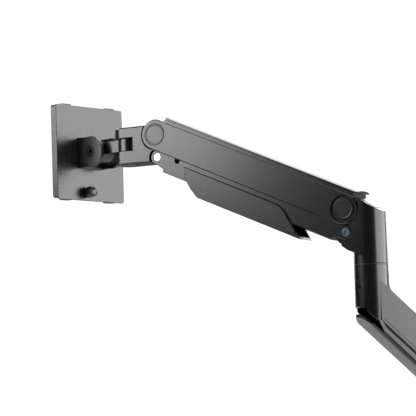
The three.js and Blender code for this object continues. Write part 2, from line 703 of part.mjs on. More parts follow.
function armShell() {
  const skin = sideSlab(stadium(armReach, armEndRadius), armHalf, 1.2, 12);
  const ridge = join(
    box(-ridgeEnd, armReach - ridgeEnd, -armHalf + ridgeInset, armHalf - ridgeInset, ridgeLow, ridgeTop - 1.4),
    box(-ridgeEnd, armReach - ridgeEnd, -armInside, armInside, ridgeLow, ridgeTop),
  );
  const hollow = box(-ridgeEnd - 40, armReach + 40, -armInside, armInside, -40, armEndRadius - armWall);
  const rearGap = box(-60, -ridgeEnd, -armInside, armInside, -40, 40);
  const frontGap = box(armReach - ridgeEnd, armReach + 60, -armInside, armInside, -40, 40);
  const seam = [-1, 1].map((side) => box(
    -ridgeEnd, armReach - ridgeEnd, side * armHalf - 0.9, side * armHalf + 0.9, armEndRadius - 0.5, armEndRadius + 0.4));
  const capSeats = [[0, rearRecessRadius, rearRecessDepth], [armReach, capRadius + seatGap, capSeatDepth]]
    .flatMap(([x, radius, depth]) => [
      cylinder('y', radius, armHalf - depth, armHalf + 5, x, 0, 36),
      cylinder('y', radius, -armHalf - 5, -armHalf + depth, x, 0, 36),
    ]);
  const bores = [
    across(shaftRadius + seatGap, [0, 0], 40),
    across(shaftRadius + seatGap, [armReach, 0], 40),
    across(springPinRadius + runGap, [springReach, springPinHeight], armHalf - 1.2, 20),
  ];
  return cut(join(skin, ridge), hollow, rearGap, frontGap, ...seam, ...capSeats, ...bores);
}

// The plastic cover on the ridge, crowned across the arm and thin at its long edges.
function armTopCover() {
  const low = ridgeTop + seatGap;
  const length = armReach + topCoverOverrun;
  const crown = (armHalf ** 2 + topCoverCrown ** 2) / (2 * topCoverCrown);
  const shape = roundedRectangle(length, armWidth, 5);
  return planSlab(shape, low, low + topCoverThickness, 0.5, 4)
    .intersect(cylinder('x', crown, -length, length, 0, low + topCoverThickness - crown, 160))
    .translate(length / 2 - ridgeEnd - topCoverOverhang, 0, 0);
}

function pivotShaft(x) {
  return across(shaftRadius, [x, 0], armHalf - rearRecessDepth - seatGap);
}

// A disc washer between an arm cheek and what turns between the cheeks.
function pivotWasher(x, side) {
  const from = tongueHalf + seatGap;
  const to = armInside - seatGap;
  const washer = sideRing(pivotWasherRadius, shaftRadius + runGap, from, to, 28);
  return (side > 0 ? washer : washer.mirror([0, 1, 0])).translate(x, 0, 0);
}

// A round cap with a raised rim and a slightly dished middle.
function pivotCap(x, side) {
  const back = armHalf - (x ? capSeatDepth : rearRecessDepth) + seatGap;
  const face = x ? armHalf + capProud : back + rearCapThickness;
  const radius = x ? capRadius : rearCapRadius;
  const cap = turned([
    [0, back], [radius, back], [radius, face - 0.5], [radius - 0.5, face],
    [radius - 1.6, face], [radius - 2.2, face - 0.6], [0, face - 0.6],
  ], 36).rotate(-90, 0, 0);
  return (side > 0 ? cap : cap.mirror([0, 1, 0])).translate(x, 0, 0);
}

// ---------------------------------------------------------------- gas spring, x from the front pin to the rear pin

const springRearAngle = radians(liftAngle);
const springRear = [-springPinDrop * Math.sin(springRearAngle), -springPinDrop * Math.cos(springRearAngle)];
const springRun = [springRear[0] - springReach, springRear[1] - springPinHeight];
const springLength = Math.hypot(...springRun);
const springTip = THREE.MathUtils.radToDeg(Math.atan2(springRun[1], springRun[0]));
const springTubeStart = 10;
const springTubeEnd = springTubeStart + springTubeLength;

function gasSpringTube() {
  const r = springTubeRadius;
  const bore = r - springTubeWall;
  const body = turned([
    [0, springTubeStart], [r - 1, springTubeStart], [r, springTubeStart + 1.5], [r, springTubeEnd - 1],
    [r - 1, springTubeEnd], [springRodRadius + runGap, springTubeEnd], [springRodRadius + runGap, springTubeEnd - 6],
    [bore, springTubeEnd - 6], [bore, springTubeStart + 4], [0, springTubeStart + 4],
  ], 28).rotate(0, 90, 0);
  const eye = join(
    cylinder('y', springEyeRadius, -springEyeWidth / 2, springEyeWidth / 2, 0, 0, 24),
    box(0, springTubeStart + 2, -springEyeWidth / 2, springEyeWidth / 2, -4, 4),
  );
  return cut(join(body, eye), across(springPinRadius + runGap, [0, 0], 20, 20));
}

function gasSpringRod() {
  const piston = springTubeRadius - springTubeWall - runGap;
  const head = springTubeEnd - 36;
  const rod = turned([
    [0, head - 6], [piston, head - 6], [piston, head], [springRodRadius, head],
    [springRodRadius, springLength - 3], [0, springLength - 3],
  ], 24).rotate(0, 90, 0);
  const eye = cylinder('y', springEyeRadius, -springEyeWidth / 2, springEyeWidth / 2, springLength, 0, 24);
  return cut(join(rod, eye), across(springPinRadius + openPivotGap, [springLength, 0], 20, 24));
}

// ---------------------------------------------------------------- parallel link, x along it from its rear pivot

function parallelLink() {
  const floor = -linkFloorDepth;
  const side = new THREE.Shape();
  const rise = linkBossRadius;
  side.moveTo(linkFloorStart, floor);
  side.lineTo(armReach - linkFloorStart, floor);
  side.lineTo(armReach - linkFloorStart + 1.5, floor + 3.6);
  side.absarc(armReach, 0, rise, radians(250), radians(125));
  side.lineTo(armReach - 8, linkTopHeight);
  side.lineTo(8, linkTopHeight);
  side.absarc(0, 0, rise, radians(55), radians(290));
  side.lineTo(linkFloorStart - 1.5, floor + 3.6);
  const body = sideSlab(side, linkHalf, 1, 8);
  const hollow = box(-40, armReach + 40, -linkInside, linkInside, floor + linkWall, 40);
  const endGaps = [
    box(-40, linkFloorStart, -linkInside, linkInside, -40, 40),
    box(armReach - linkFloorStart, armReach + 40, -linkInside, linkInside, -40, 40),
  ];
  const bores = [0, armReach].map((x) => across(linkPinRadius + runGap, [x, 0], 40, 24));
  const headSeats = [-1, 1].map((end) => cylinder(
    'y', rearPinHead + runGap, end > 0 ? linkHalf - pinHeadDepth - 0.4 : -linkHalf - 4,
    end > 0 ? linkHalf + 4 : -linkHalf + pinHeadDepth + 0.4, 0, 0, 24));
  const notch = across(linkNotchRadius, [linkNotchPlace, linkNotchHeight], 40, 20);
  return cut(body, hollow, ...endGaps, ...bores, ...headSeats, notch);
}

// The clip-on trough under the link; cables run between its floor and the link's.
function linkCableCover() {
  const front = linkCoverFront;
  const side = () => {
    const shape = new THREE.Shape();
    const floor = -linkCoverDepth;
    const rearTop = linkCoverRear + linkCoverSlantRear;
    shape.moveTo(rearTop, linkCoverTop);
    shape.quadraticCurveTo(rearTop - 9, linkCoverTop - 1, rearTop - 15, linkCoverTop - 6);
    shape.lineTo(linkCoverRear, floor);
    shape.lineTo(front - linkCoverSlantFront, floor);
    shape.quadraticCurveTo(front - 2, linkCoverTop - 15, front, linkCoverTop);
    return shape;
  };
  const outerHalf = linkHalf + seatGap + linkCoverWall;
  const skin = sideSlab(side(), outerHalf, 1, 4);
  const lipDepth = linkFloorDepth + seatGap;
  const around = box(0, armReach, -linkHalf - seatGap, linkHalf + seatGap, -lipDepth, 30);
  const trough = box(0, armReach, -linkHalf + 1.5, linkHalf - 1.5, -linkCoverDepth + linkCoverWall, -lipDepth + 1);
  return cut(skin, around, trough);
}

// ---------------------------------------------------------------- head, x towards the monitor, z from the front main pivot

const headLowPivot = [-linkSetBack, -linkDrop];
const swivelHeadRadius = 9;
const swivelHeadDepth = 4;

function headFork() {
  const half = forkWidth / 2;
  const plan = new THREE.Shape();
  plan.moveTo(0, -half);
  plan.lineTo(forkReach, -half);
  plan.absarc(forkReach, 0, half, -Math.PI / 2, Math.PI / 2);
  plan.lineTo(0, half);
  const body = planSlab(plan, forkBottom, forkTop, 1.5, 10);
  const slot = box(slotStart, forkReach + 60, -60, 60, slotTop - slotHeight, slotTop);
  const clear = half + 10;
  const rounds = [
    across(pocketRadius, [0, 0], clear, 40),
    across(linkPocketRadius, headLowPivot, clear, 32),
    box(-10, 0.1, -clear, clear, -linkDrop, 30),
  ];
  const outside = cut(body, slot, ...rounds);
  const web = sideSlab(outline([
    [headLowPivot[0], headLowPivot[1] - 3], [14, headLowPivot[1] - 3], [20, -4], [14, 8], [0, 8], [headLowPivot[0] - 4, -20],
  ]), tongueHalf);
  const tongue = join(
    web, across(tongueRadius, [0, 0], tongueHalf, 28), across(linkBossRadius - 0.8, headLowPivot, tongueHalf, 32));
  const axisAt = (radius, from, to) => cylinder('z', radius, from, to, forkReach, 0, 32);
  const bores = [
    across(shaftRadius + runGap, [0, 0], 40),
    across(linkPinRadius + runGap, headLowPivot, 40, 24),
    axisAt(swivelBoltRadius + runGap, forkBottom - 1, forkTop + 1),
    axisAt(swivelHeadRadius + seatGap, forkTop - swivelHeadDepth - seatGap, forkTop + 1),
    axisAt(swivelHeadRadius + seatGap, forkBottom - 1, forkBottom + swivelHeadDepth + seatGap),
  ];
  return cut(join(outside, tongue), ...bores);
}

function swivelBolt() {
  const head = cylinder('z', swivelHeadRadius, forkTop - swivelHeadDepth, forkTop - 0.4, forkReach, 0, 28);
  const shank = cylinder('z', swivelBoltRadius, forkBottom + 0.6, forkTop - 1, forkReach, 0, 24);
  const socket = cylinder('z', 3.4, forkTop - 3, forkTop + 1, forkReach, 0, 6);
  return cut(join(head, shank), socket);
}

function swivelNut() {
  const low = forkBottom + 0.4;
  const high = forkBottom + swivelHeadDepth;
  return cut(
    cylinder('z', swivelHeadRadius - 0.4, low, high, forkReach, 0, 6),
    cylinder('z', swivelBoltRadius + runGap, low - 1, high + 1, forkReach, 0, 24));
}

function swivelWasherRing(low) {
  return ring(swivelBarrelRadius - 1, swivelBoltRadius + runGap, low, low + swivelWasher, 32).translate(forkReach, 0, 0);
}

// ---------------------------------------------------------------- knuckle and tilt bracket

// x from the swivel axis to the tilt axis, z from the middle of the fork's slot.
function headKnuckle() {
  const halfHeight = barrelHeight / 2;
  const barrel = cylinder('z', swivelBarrelRadius, -halfHeight, halfHeight, 0, 0, 40);
  const neck = box(4, knuckleReach - 4, -neckWidth / 2, neckWidth / 2, -halfHeight, halfHeight);
  const tiltBarrel = cylinder(
    'y', tiltBarrelRadius, -tiltBarrelWidth / 2, tiltBarrelWidth / 2, knuckleReach, -knuckleDrop, 28);
  const bores = [
    cylinder('z', swivelBoltRadius + runGap, -40, 40, 0, 0, 24),
    cylinder('y', tiltBoltRadius + runGap, -60, 60, knuckleReach, -knuckleDrop, 24),
  ];
  return cut(join(barrel, neck, tiltBarrel), ...bores);
}

// x from the tilt axis to the monitor.
function tiltBracket() {
  const baseFar = plateStandoff - seatGap;
  const baseNear = baseFar - bracketBase;
  const base = box(baseNear, baseFar, -earOutside, earOutside, -earRadius, earRadius);
  const ear = (side) => {
    const inner = side > 0 ? earInside : -earOutside;
    const outer = side > 0 ? earOutside : -earInside;
    const face = cylinder('y', earRadius, inner, outer, 0, 0, 36);
    const root = box(0, baseFar, inner + (side > 0 ? 0 : 0.8), outer - (side > 0 ? 0.8 : 0), -earRadius + 0.4, earRadius - 0.4);
    return join(face, root);
  };
  const bores = [
    cylinder('y', tiltBoltRadius + runGap, -60, 60, 0, 0, 24),
    cylinder('y', tiltBoltRadius + 3, earOutside - 2.2, earOutside + 5, 0, 0, 24),
    cylinder('y', tiltBoltRadius + 3, -earOutside - 5, -earOutside + 2.2, 0, 0, 24),
    cylinder('x', hubRadius - 2 + runGap, 0, 60, 0, 0, 24),
  ];
  return cut(join(base, ear(1), ear(-1)), ...bores);
}

function tiltWasher(side) {
  const from = tiltBarrelWidth / 2 + seatGap;
  const middle = from + tiltWasherThickness / 2;
  const to = from + tiltWasherThickness;
  const washer = join(
    sideRing(tiltBarrelRadius + 1.2, tiltBoltRadius + runGap, from, middle, 28),
    sideRing(earRadius - 3.9, tiltBoltRadius + runGap, middle - 0.2, to, 28));
  return side > 0 ? washer : washer.mirror([0, 1, 0]);
}

function tiltBolt() {
  const headFace = earOutside - 0.2;
  const head = cylinder('y', tiltBoltRadius + 2.7, headFace - 1.8, headFace, 0, 0, 28);
  const shank = cylinder('y', tiltBoltRadius, -earOutside + 0.6, headFace - 1, 0, 0, 24);
  const socket = cylinder('y', 2.9, headFace - 3.4, headFace + 1, 0, 0, 6);
  return cut(join(head, shank), socket);
}

function tiltNut() {
  const outer = -earOutside + 0.3;
  const inner = -earOutside + 2;
  return cut(
    cylinder('y', tiltBoltRadius + 2.7, outer, inner, 0, 0, 6),
    cylinder('y', tiltBoltRadius + runGap, outer - 1, inner + 1, 0, 0, 24));
}

// The stepped bush that the plate turns on, pinned to the bracket's base.
function rotationHub() {
  const start = plateStandoff - seatGap - bracketBase + 0.5;
  const face = plateStandoff;
  const far = face + plateSheet + seatGap;
  return turned([
    [0, start], [hubRadius - 2, start], [hubRadius - 2, face], [hubRadius, face], [hubRadius, far],
    [hubFlangeRadius, far], [hubFlangeRadius, far + 2], [0, far + 2],
  ]).rotate(0, 90, 0);
}

// ---------------------------------------------------------------- monitor plates, x towards the monitor

const sheetFace = (shape, from, to, bevel = 0) => planSlab(shape, from, to, bevel, 4)
  .rotate(0, 0, 90).rotate(0, 90, 0);

function quickReleasePlate() {
  const half = plateSize / 2;
  const face = plateStandoff;
  const sheet = sheetFace(roundedRectangle(plateSize, plateSize, plateCorner), face, face + plateSheet, 0.4);
  const flanges = [-1, 1].map((side) => box(
    face + 0.6, face + flangeDepth, side > 0 ? half - 2 : -half, side > 0 ? half : -half + 2,
    -half + plateCorner, half - plateCorner));
  const ledges = [-1, 1].map((side) => box(
    face + 0.6, adapterFace + plateSheet, side * tabSpacing / 2 - tabWidth / 2, side * tabSpacing / 2 + tabWidth / 2,
    -half, -half + 1.8));
  const bores = [
    cylinder('x', hubRadius + runGap, face - 2, face + 10, 0, 0, 32),
    cylinder('x', lockScrewRadius + runGap, face - 2, face + 10, lockOffset, -lockDrop, 20),
  ];
  return cut(join(sheet, ...flanges, ...ledges), ...bores);
}

// The plate that is screwed to the monitor and hangs on the quick-release plate.
function monitorPlate() {
  const half = plateSize / 2;
  const low = -half + 1.8 + seatGap;
  const shape = roundedRectangle(adapterWidth, half - low, plateCorner);
  const sheet = sheetFace(shape, adapterFace, adapterFace + plateSheet).translate(0, 0, (half + low) / 2);
  const tabs = [-1, 1].map((side) => box(
    plateStandoff + 1, adapterFace + plateSheet, side * tabSpacing / 2 - tabWidth / 2, side * tabSpacing / 2 + tabWidth / 2,
    half + seatGap, half + seatGap + tabHeight));
  const risers = [-1, 1].map((side) => box(
    adapterFace, adapterFace + plateSheet, side * tabSpacing / 2 - tabWidth / 2, side * tabSpacing / 2 + tabWidth / 2,
    half - 4, half + seatGap + tabHeight));
  const corners = [vesaSmall, vesaLarge].flatMap((pitch) => [-1, 1].flatMap((y) => [-1, 1].map((z) => [
    y * pitch / 2, z * pitch / 2])));
  const holes = corners.map(([y, z]) => cylinder(
    'x', vesaHoleRadius, adapterFace - 1, adapterFace + plateSheet + 1, y, z, 16));
  const notch = join(
    box(adapterFace - 1, adapterFace + 6, lockOffset - lockScrewRadius - 0.5, lockOffset + lockScrewRadius + 0.5, -half - 5, -lockDrop),
    cylinder('x', lockScrewRadius + 0.5, adapterFace - 1, adapterFace + 6, lockOffset, -lockDrop, 20));
  return cut(join(sheet, ...tabs, ...risers), ...holes, notch);
}

const knobFace = plateStandoff - seatGap - 0.6;

function lockScrew() {
  const tip = adapterFace + plateSheet - 0.4;
  return cylinder('x', lockScrewRadius, knobFace - lockKnobLength + 3, tip, lockOffset, -lockDrop, 20);
}

// A knurled knob with a domed end.
function lockKnob() {
  const ribs = 12;
  const points = [];
  for (let i = 0; i < 2 * ribs; i += 1) {
    const angle = Math.PI * i / ribs;
    const radius = lockKnobRadius - (i % 2 ? 0.7 : 0);
    points.push([radius * Math.cos(angle), radius * Math.sin(angle)]);
  }
  const grip = planSlab(outline(points), 2.2, lockKnobLength - 2.4);
  const core = turned([
    [0, 0], [lockKnobRadius - 2, 0], [lockKnobRadius - 2, 2.6], [lockKnobRadius - 1.2, lockKnobLength - 2.6],
    [lockKnobRadius - 1.2, lockKnobLength - 1.4], [lockKnobRadius - 3, lockKnobLength - 0.3], [0, lockKnobLength],
  ], 28);
  const bore = cylinder('z', lockScrewRadius + seatGap, -1, lockKnobLength - 3 + seatGap, 0, 0, 20);
  return cut(join(grip, core), bore).rotate(0, -90, 0).translate(knobFace, lockOffset, -lockDrop);
}

// ---------------------------------------------------------------- assembly

const monitorArm = new THREE.Group();
monitorArm.name = 'monitor_arm';

add(monitorArm, 'desk_pad', deskPad(), blackRubber);
add(monitorArm, 'base_plate', basePlate(), coatedAluminium);
add(monitorArm, 'clamp_bracket', clampBracket(), coatedSteel);
add(monitorArm, 'clamp_bolt_left', clampBolt(-1), zincSteel);
add(monitorArm, 'clamp_bolt_right', clampBolt(1), zincSteel);
add(monitorArm, 'base_post', basePost(), zincSteel);
add(monitorArm, 'disc_pad', discPad(), blackRubber);
add(monitorArm, 'pressure_disc', pressureDisc(), coatedSteel);
add(monitorArm, 'clamp_screw', clampScrew(), zincSteel);
add(monitorArm, 'clamp_knob', clampKnob(), blackPlastic);

const lowerArm = frameAt(monitorArm, 'lower_arm', [0, 0, 0], lowerArmHeading);
add(lowerArm, 'lower_arm_casting', lowerArmCasting(), coatedAluminium);
add(lowerArm, 'base_bush', baseBush(), bearingPlastic);
add(lowerArm, 'base_washer', baseWasher(), bearingPlastic);
add(lowerArm, 'retaining_washer', retainingWasher(), zincSteel);
add(lowerArm, 'retaining_screw', retainingScrew(), zincSteel);
add(lowerArm, 'base_boss_cap', baseBossCap(), capPlastic);
add(lowerArm, 'elbow_bush', elbowBush(), bearingPlastic);
add(lowerArm, 'elbow_washer', elbowWasher(), bearingPlastic);
add(lowerArm, 'boss_set_screw', bossSetScrew(), zincSteel);
add(lowerArm, 'lower_cable_cover', lowerCableCover(), coverPlastic);

const elbow = frameAt(lowerArm, 'elbow', [lowerReach, 0, seamHeight], upperArmHeading - lowerArmHeading);
add(elbow, 'elbow_bracket', elbowBracket(), coatedAluminium);
add(elbow, 'elbow_spindle', elbowSpindle(), zincSteel);
add(elbow, 'elbow_top_cap', elbowCapSolid(0, 1), capPlastic);
add(elbow, 'link_rear_pin', crossPin(linkPinRadius, lowPivot, linkHalf - 0.2, rearPinHead, pinHeadDepth), brightSteel);
add(elbow, 'spring_rear_pin', crossPin(springPinRadius, [pivotOffset, pivotHeight - springPinDrop], tongueHalf - 1.8), zincSteel);

const arm = frameAt(elbow, 'arm', [pivotOffset, 0, pivotHeight], 0, liftAngle);
add(arm, 'arm_shell', armShell(), coatedAluminium);
add(arm, 'arm_top_cover', armTopCover(), coverPlastic);
add(arm, 'spring_front_pin', crossPin(springPinRadius, [springReach, springPinHeight], armHalf - 1.5), zincSteel);
for (const [end, x] of [['rear', 0], ['front', armReach]]) {
  add(arm, `${end}_pivot_shaft`, pivotShaft(x), zincSteel);
  for (const [hand, side] of [['left', 1], ['right', -1]]) {
    add(arm, `${end}_pivot_washer_${hand}`, pivotWasher(x, side), bearingPlastic);
    add(arm, `${end}_pivot_cap_${hand}`, pivotCap(x, side), capPlastic);
  }
}

const spring = frameAt(arm, 'gas_spring', [springReach, 0, springPinHeight], 0, springTip);
add(spring, 'gas_spring_tube', gasSpringTube(), springEnamel);
add(spring, 'gas_spring_rod', gasSpringRod(), brightSteel);

const link = frameAt(elbow, 'link', [lowPivot[0], 0, lowPivot[1]], 0, liftAngle);
add(link, 'parallel_link', parallelLink(), coatedAluminium);
add(link, 'link_cable_cover', linkCableCover(), coverPlastic);

const head = frameAt(elbow, 'head', [
  pivotOffset + armReach * Math.cos(radians(liftAngle)), 0, pivotHeight + armReach * Math.sin(radians(liftAngle)),
]);
add(head, 'head_fork', headFork(), coatedAluminium);
add(head, 'front_link_pin', crossPin(linkPinRadius, headLowPivot, linkHalf - 0.1), brightSteel);
add(head, 'swivel_bolt', swivelBolt(), zincSteel);
add(head, 'swivel_nut', swivelNut(), zincSteel);
add(head, 'swivel_washer_top', swivelWasherRing(slotTop - seatGap / 2 - swivelWasher), bearingPlastic);
add(head, 'swivel_washer_bottom', swivelWasherRing(slotTop - slotHeight + seatGap / 2), bearingPlastic);

const knuckle = frameAt(head, 'knuckle', [forkReach, 0, slotMiddle], headTurn);
add(knuckle, 'head_knuckle', headKnuckle(), coatedAluminium);

const tilt = frameAt(knuckle, 'tilt', [knuckleReach, 0, -knuckleDrop]);
add(tilt, 'tilt_bracket', tiltBracket(), coatedSteel);
add(tilt, 'tilt_washer_left', tiltWasher(1), bearingPlastic);
add(tilt, 'tilt_washer_right', tiltWasher(-1), bearingPlastic);
add(tilt, 'tilt_bolt', tiltBolt(), zincSteel);
add(tilt, 'tilt_nut', tiltNut(), zincSteel);
add(tilt, 'rotation_hub', rotationHub(), zincSteel);
add(tilt, 'quick_release_plate', quickReleasePlate(), coatedSteel);
add(tilt, 'monitor_plate', monitorPlate(), coatedSteel);
add(tilt, 'lock_screw', lockScrew(), brightSteel);
add(tilt, 'lock_knob', lockKnob(), blackPlastic);

export default monitorArm;
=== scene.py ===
import math

import bpy
from mathutils import Matrix, Vector


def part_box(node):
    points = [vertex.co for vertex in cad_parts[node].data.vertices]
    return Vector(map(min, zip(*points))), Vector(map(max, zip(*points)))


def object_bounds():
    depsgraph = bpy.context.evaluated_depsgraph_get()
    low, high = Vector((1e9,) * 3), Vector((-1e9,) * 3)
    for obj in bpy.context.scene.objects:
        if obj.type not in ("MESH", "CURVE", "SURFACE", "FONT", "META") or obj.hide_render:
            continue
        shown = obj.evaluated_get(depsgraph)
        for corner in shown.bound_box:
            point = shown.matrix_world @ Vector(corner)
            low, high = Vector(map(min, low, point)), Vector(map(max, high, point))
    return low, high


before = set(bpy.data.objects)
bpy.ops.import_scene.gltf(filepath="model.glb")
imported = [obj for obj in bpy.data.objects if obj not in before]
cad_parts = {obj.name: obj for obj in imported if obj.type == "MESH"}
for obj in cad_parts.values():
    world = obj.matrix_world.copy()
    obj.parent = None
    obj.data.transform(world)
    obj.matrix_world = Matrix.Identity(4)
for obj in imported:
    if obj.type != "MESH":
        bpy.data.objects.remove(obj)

cad_box = [list(corner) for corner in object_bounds()]
scene = bpy.context.scene
scene.view_settings.view_transform = "Standard"

# ---------------------------------------------------------------- camera
# A long lens from low on the right of the arm, pitched up a little and rolled slightly, aimed from
# the rear main pivot of the upper arm.
low, high = (Vector(corner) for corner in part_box("rear_pivot_shaft"))
rear_pivot = (low + high) / 2

azimuth, pitch, roll = (math.radians(angle) for angle in (28.3, 5.46, -1.88))
ahead = Vector((-math.sin(azimuth) * math.cos(pitch), math.cos(azimuth) * math.cos(pitch), math.sin(pitch)))
level_right = Vector((math.cos(azimuth), math.sin(azimuth), 0))
level_up = level_right.cross(ahead)
right = math.cos(roll) * level_right + math.sin(roll) * level_up
up = -math.sin(roll) * level_right + math.cos(roll) * level_up

camera_data = bpy.data.cameras.new("camera")
camera_data.sensor_width = 36
camera_data.lens = 212.36
camera_data.clip_end = 50
camera = bpy.data.objects.new("camera", camera_data)
scene.collection.objects.link(camera)
stand_point = rear_pivot + Vector((1.1679, -2.5062, -0.2567))
place = Matrix.Identity(4)
for row in range(3):
    place[row][0] = right[row]
    place[row][1] = up[row]
    place[row][2] = -ahead[row]
    place[row][3] = stand_point[row]
camera.matrix_world = place
scene.camera = camera

# ---------------------------------------------------------------- studio
# A pale floor under the clamp, a pale room, and soft boxes: one on the left, one on the right, one
# overhead and one behind that brightens the upward faces. The side of the camera stays dark.
floor_gap = 0.002
floor_height = cad_box[0][2] - floor_gap
floor_reach = 1.6
floor_corners = [
    (x * floor_reach, y * floor_reach, floor_height)
    for x, y in ((-1, -1), (1, -1), (1, 1), (-1, 1))
]
floor_data = bpy.data.meshes.new("studio_floor")
floor_data.from_pydata(floor_corners, [], [(0, 1, 2, 3)])
floor = bpy.data.objects.new("studio_floor", floor_data)
scene.collection.objects.link(floor)
floor_paint = bpy.data.materials.new("studio_floor_paint")
floor_paint.use_nodes = True
floor_shader = floor_paint.node_tree.nodes["Principled BSDF"]
floor_shader.inputs["Base Color"].default_value = (0.35, 0.35, 0.36, 1)
floor_shader.inputs["Roughness"].default_value = 0.8
floor_shader.inputs["Emission Color"].default_value = (1, 1, 1, 1)
looked_at = floor_paint.node_tree.nodes.new("ShaderNodeLightPath")
glow = floor_paint.node_tree.nodes.new("ShaderNodeMapRange")
glow.inputs["To Min"].default_value = 0.20
glow.inputs["To Max"].default_value = 0.85
floor_paint.node_tree.links.new(looked_at.outputs["Is Camera Ray"], glow.inputs["Value"])
floor_paint.node_tree.links.new(glow.outputs["Result"], floor_shader.inputs["Emission Strength"])
floor_data.materials.append(floor_paint)

world = bpy.data.worlds.new("studio_room")
scene.world = world
world.use_nodes = True
room = world.node_tree
room.nodes.clear()
seen = room.nodes.new("ShaderNodeBackground")
seen.inputs["Color"].default_value = (0.93, 0.93, 0.94, 1)
seen.inputs["Strength"].default_value = 1.15
lit = room.nodes.new("ShaderNodeBackground")
lit.inputs["Color"].default_value = (0.95, 0.97, 1, 1)
lit.inputs["Strength"].default_value = 0.03
rays = room.nodes.new("ShaderNodeLightPath")
choice = room.nodes.new("ShaderNodeMixShader")
output = room.nodes.new("ShaderNodeOutputWorld")
room.links.new(rays.outputs["Is Camera Ray"], choice.inputs[0])
room.links.new(lit.outputs[0], choice.inputs[1])
room.links.new(seen.outputs[0], choice.inputs[2])
room.links.new(choice.outputs[0], output.inputs[0])

middle = rear_pivot + Vector((-0.1, 0, 0))


def soft_box(name, towards, distance, width, height, power):
    """A rectangular light at `distance` from the arm along `towards`, facing it."""
    data = bpy.data.lights.new(name, "AREA")
    data.shape = "RECTANGLE"
    data.size = width
    data.size_y = height
    data.energy = power
    light = bpy.data.objects.new(name, data)
    direction = Vector(towards).normalized()
    light.location = middle + distance * direction
    light.rotation_euler = direction.to_track_quat("Z", "Y").to_euler()
    light.visible_camera = False
    scene.collection.objects.link(light)


soft_box("left_box", (-0.600, -0.560, 0.42), 0.92, 0.62, 0.66, 12)
soft_box("right_box", (0.966, 0.26, 0.05), 1.6, 2.7, 1.4, 78)
soft_box("top_box", (0.1, 0.25, 1), 1.7, 1.8, 1.4, 36)
soft_box("back_box", (-0.35, 0.9, 0.45), 2.0, 3.0, 1.6, 66)

# ---------------------------------------------------------------- base plate and turret
# Cast aluminium, powder coated in a satin charcoal with a fine even grain.
# It sits on the desk and carries the steel post that the lower arm turns on.


def surface(name, dark, light, metallic, roughness, grain=1400, depth=0.000004, patch=35, spread=0.02):
    """A finish: two close shades mixed by a slow noise of `patch` cycles a metre, roughness moved by a
    middling noise within `spread` of its value, and a fine noise of `grain` cycles as bumps of `depth`."""
    material = bpy.data.materials.new(name)
    material.use_nodes = True
    tree = material.node_tree
    shader = tree.nodes["Principled BSDF"]
    shader.inputs["Metallic"].default_value = metallic
    where = tree.nodes.new("ShaderNodeTexCoord")

    def noise(scale, detail):
        node = tree.nodes.new("ShaderNodeTexNoise")
        node.inputs["Scale"].default_value = scale
        node.inputs["Detail"].default_value = detail
        tree.links.new(where.outputs["Object"], node.inputs["Vector"])
        return node.outputs["Fac"]

    shades = tree.nodes.new("ShaderNodeValToRGB")
    shades.color_ramp.elements[0].position = 0.3
    shades.color_ramp.elements[0].color = (*dark, 1)
    shades.color_ramp.elements[1].position = 0.7
    shades.color_ramp.elements[1].color = (*light, 1)
    tree.links.new(noise(patch, 4), shades.inputs["Fac"])
    tree.links.new(shades.outputs["Color"], shader.inputs["Base Color"])

    gloss = tree.nodes.new("ShaderNodeMapRange")
    gloss.inputs["From Min"].default_value = 0.3
    gloss.inputs["From Max"].default_value = 0.7
    gloss.inputs["To Min"].default_value = roughness - spread
    gloss.inputs["To Max"].default_value = roughness + spread
    tree.links.new(noise(grain / 6, 3), gloss.inputs["Value"])
    tree.links.new(gloss.outputs["Result"], shader.inputs["Roughness"])

    bumps = tree.nodes.new("ShaderNodeBump")
    bumps.inputs["Strength"].default_value = 0.6
    bumps.inputs["Distance"].default_value = depth
    tree.links.new(noise(grain, 2), bumps.inputs["Height"])
    tree.links.new(bumps.outputs["Normal"], shader.inputs["Normal"])
    return material


def edge_smoothing(name, sharpest):
    """A geometry group that shades faces smoothly and keeps edges bent past `sharpest` degrees crisp."""
    group = bpy.data.node_groups.new(name, "GeometryNodeTree")
    group.interface.new_socket("Geometry", in_out="INPUT", socket_type="NodeSocketGeometry")
    group.interface.new_socket("Geometry", in_out="OUTPUT", socket_type="NodeSocketGeometry")
    start = group.nodes.new("NodeGroupInput")
    end = group.nodes.new("NodeGroupOutput")
    bend = group.nodes.new("GeometryNodeInputMeshEdgeAngle")
    gentle = group.nodes.new("FunctionNodeCompare")
    gentle.operation = "LESS_THAN"
    gentle.inputs[1].default_value = math.radians(sharpest)
    edges = group.nodes.new("GeometryNodeSetShadeSmooth")
    edges.domain = "EDGE"
    faces = group.nodes.new("GeometryNodeSetShadeSmooth")
    faces.domain = "FACE"
    group.links.new(bend.outputs["Unsigned Angle"], gentle.inputs[0])
    group.links.new(start.outputs[0], edges.inputs["Geometry"])
    group.links.new(gentle.outputs[0], edges.inputs["Shade Smooth"])
    group.links.new(edges.outputs[0], faces.inputs["Geometry"])
    group.links.new(faces.outputs[0], end.inputs[0])
    return group


sharp_bend = 32
smoothing = edge_smoothing("crisp_edges", sharp_bend)


def dress(node, material, edge=0.0004):
    """Gives a frame node its finish, and rounds its sharp edges by `edge` metres."""
    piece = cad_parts[node]
    piece.data.materials.clear()
    piece.data.materials.append(material)
    weld = piece.modifiers.new("weld", "WELD")
    weld.merge_threshold = 0.00001
    flat = piece.modifiers.new("flat_faces", "DECIMATE")
    flat.decimate_type = "DISSOLVE"
    flat.angle_limit = math.radians(0.6)
    rounding = piece.modifiers.new("edge_rounding", "BEVEL")
    rounding.width = edge
    rounding.segments = 2
    rounding.limit_method = "ANGLE"
    rounding.angle_limit = math.radians(sharp_bend)
    rounding.use_clamp_overlap = True
    shading = piece.modifiers.new("shading", "NODES")
    shading.node_group = smoothing
    evening = piece.modifiers.new("flat_face_normals", "WEIGHTED_NORMAL")
    evening.keep_sharp = True
    evening.weight = 100


